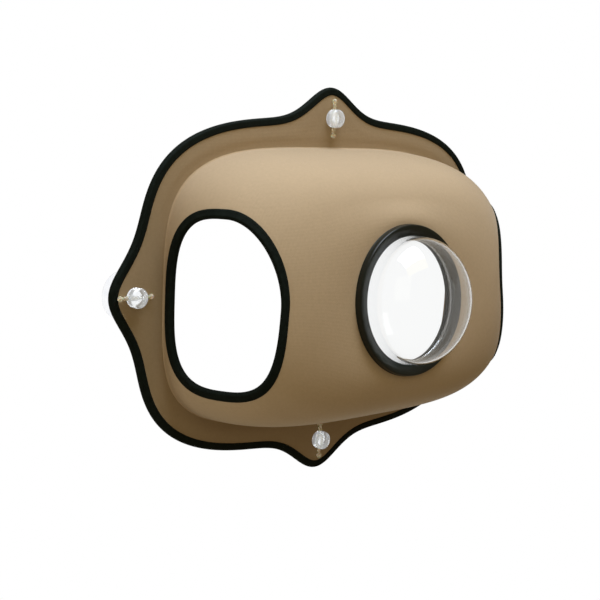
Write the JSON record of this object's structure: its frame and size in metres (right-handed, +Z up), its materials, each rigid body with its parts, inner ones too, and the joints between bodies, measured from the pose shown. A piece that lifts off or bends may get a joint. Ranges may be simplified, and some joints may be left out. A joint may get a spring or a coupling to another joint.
{
  "type": "window mounted cat pod",
  "caption": "Moulded foam cat pod on a flat eared panel, held on a window by suction cups locked with pins, with a doorway at each end and a clear domed window in its front.",
  "frame": {"origin": "on the window pane, in the middle of the four suction cups", "axes": "+X to the right as seen from the room, +Y through the pane, +Z up; the pod stands out towards -Y"},
  "size_m": [0.6764, 0.2425, 0.5068],
  "materials": {
    "tan_fabric": "woven suede",
    "black_tape": "ribbed tape",
    "black_plastic": "satin",
    "clear_dome": "polished clear plastic",
    "screw_steel": "zinc",
    "fleece": "fleece",
    "clear_cup": "clear soft",
    "pin_plastic": "translucent"
  },
  "bodies": {
    "pod": {"back_panel": "tan_fabric", "panel_binding": "black_tape", "pod_shell": "tan_fabric", "left_doorway_binding": "black_tape", "right_doorway_binding": "black_tape", "dome_outer_ring": "black_plastic", "bubble_dome": "clear_dome", "dome_inner_ring": "black_plastic", "ring_screws": "screw_steel", "floor_cushion": "fleece"},
    "top_cup": {"top_suction_cup": "clear_cup"},
    "top_pin": {"top_retaining_pin": "pin_plastic"},
    "bottom_cup": {"bottom_suction_cup": "clear_cup"},
    "bottom_pin": {"bottom_retaining_pin": "pin_plastic"},
    "left_cup": {"left_suction_cup": "clear_cup"},
    "left_pin": {"left_retaining_pin": "pin_plastic"},
    "right_cup": {"right_suction_cup": "clear_cup"},
    "right_pin": {"right_retaining_pin": "pin_plastic"}
  },
  "joints": [
    {"name": "top_cup_swivel", "type": "hinge", "parent": "pod", "child": "top_cup", "pos_m": [0, -0.0175, 0.2137], "axis": [0, 1, 0], "continuous": true},
    {"name": "bottom_cup_swivel", "type": "hinge", "parent": "pod", "child": "bottom_cup", "pos_m": [0, -0.0175, -0.2137], "axis": [0, 1, 0], "continuous": true},
    {"name": "left_cup_swivel", "type": "hinge", "parent": "pod", "child": "left_cup", "pos_m": [-0.3064, -0.0175, 0], "axis": [0, 1, 0], "continuous": true},
    {"name": "right_cup_swivel", "type": "hinge", "parent": "pod", "child": "right_cup", "pos_m": [0.3064, -0.0175, 0], "axis": [0, 1, 0], "continuous": true},
    {"name": "top_pin_slide", "type": "slide", "parent": "top_cup", "child": "top_pin", "axis": [0, 0, 1], "range_m": [-0.007, 0.007]},
    {"name": "bottom_pin_slide", "type": "slide", "parent": "bottom_cup", "child": "bottom_pin", "axis": [0, 0, -1], "range_m": [-0.007, 0.007]},
    {"name": "left_pin_slide", "type": "slide", "parent": "left_cup", "child": "left_pin", "axis": [-1, 0, 0], "range_m": [-0.007, 0.007]},
    {"name": "right_pin_slide", "type": "slide", "parent": "right_cup", "child": "right_pin", "axis": [1, 0, 0], "range_m": [-0.007, 0.007]}
  ]
}
